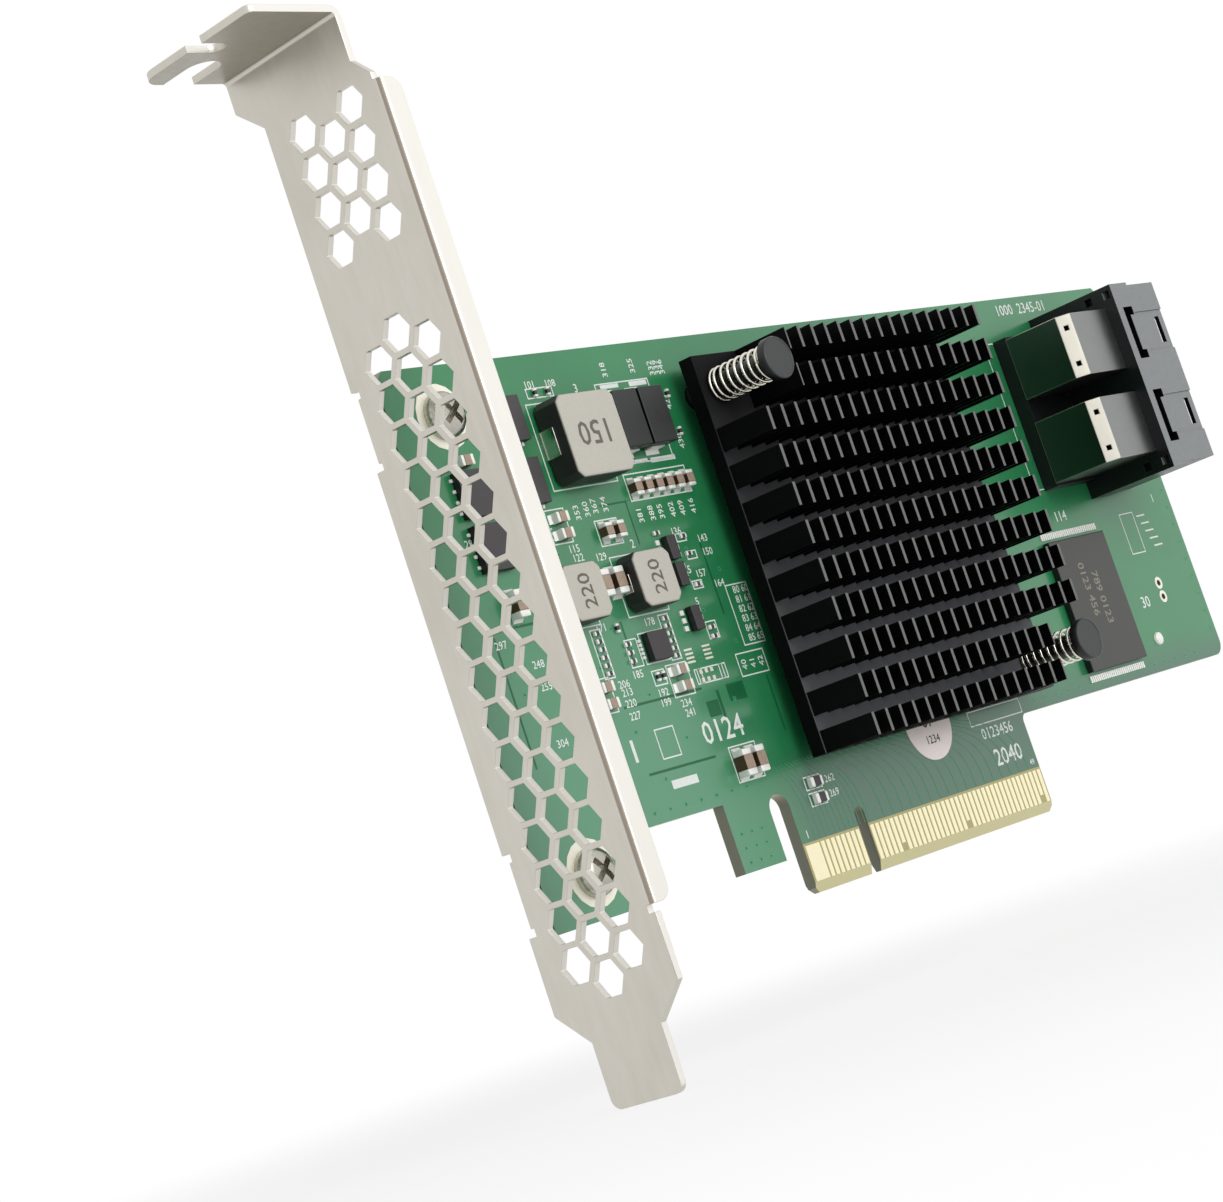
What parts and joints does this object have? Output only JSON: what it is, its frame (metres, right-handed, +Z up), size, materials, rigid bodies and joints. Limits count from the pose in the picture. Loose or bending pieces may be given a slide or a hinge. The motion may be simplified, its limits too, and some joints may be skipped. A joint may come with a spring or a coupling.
{
  "type": "raid controller card",
  "caption": "Low-profile plug-in storage controller card with a vented full-height bracket, a black pin-fin heatsink and twin cable sockets at its far end.",
  "frame": {"origin": "Mount card_edge: the middle of the key notch on the bottom edge of the contact tongue, in the plane of the component side. The card stands as it does when plugged in and can't rest on this edge by itself.", "axes": "+X along the card from the bracket to the cable sockets, +Z up from the slot to the bracket's screw tab, and the component side faces -Y."},
  "size_m": [0.1625, 0.0221, 0.1209],
  "materials": {
    "solder_mask": "green solder mask",
    "gold": "hard gold plate",
    "bracket_steel": "nickel-plated",
    "screw_steel": "zinc-plated",
    "tin": "bright tin",
    "black_anodised": "black anodised",
    "thermal_pad": "soft",
    "package_lid": "nickel-plated",
    "package_substrate": "laminate",
    "black_plastic": "moulded",
    "spring_steel": "bright wire",
    "connector_plastic": "moulded",
    "cage_metal": "bright plated sheet",
    "chip_plastic": "moulded epoxy",
    "inductor_core": "pressed iron powder",
    "capacitor_case": "moulded epoxy",
    "capacitor_ceramic": "fired",
    "label_paper": "plain"
  },
  "bodies": {
    "root": {"circuit_board": "solder_mask", "edge_contacts": "gold", "bracket": "bracket_steel", "bracket_screws": "screw_steel", "plated_pads": "tin", "heatsink": "black_anodised", "thermal_pad": "thermal_pad", "controller_lid": "package_lid", "controller_substrate": "package_substrate", "push_pins": "black_plastic", "push_pin_springs": "spring_steel", "connector_housing": "connector_plastic", "upper_cage": "cage_metal", "lower_cage": "cage_metal", "contact_wafers": "connector_plastic", "contact_blocks": "connector_plastic", "connector_tails": "tin", "memory_chip": "chip_plastic", "memory_leads": "tin", "large_inductor": "inductor_core", "small_inductors": "inductor_core", "inductor_clips": "tin", "polymer_capacitors": "capacitor_case", "polymer_terminals": "tin", "power_transistors": "chip_plastic", "transistor_leads": "tin", "ceramic_capacitors": "capacitor_ceramic", "capacitor_terminals": "tin", "converter_chip": "chip_plastic", "regulator_chips": "chip_plastic", "chip_leads": "tin", "round_label": "label_paper"}
  },
  "joints": []
}
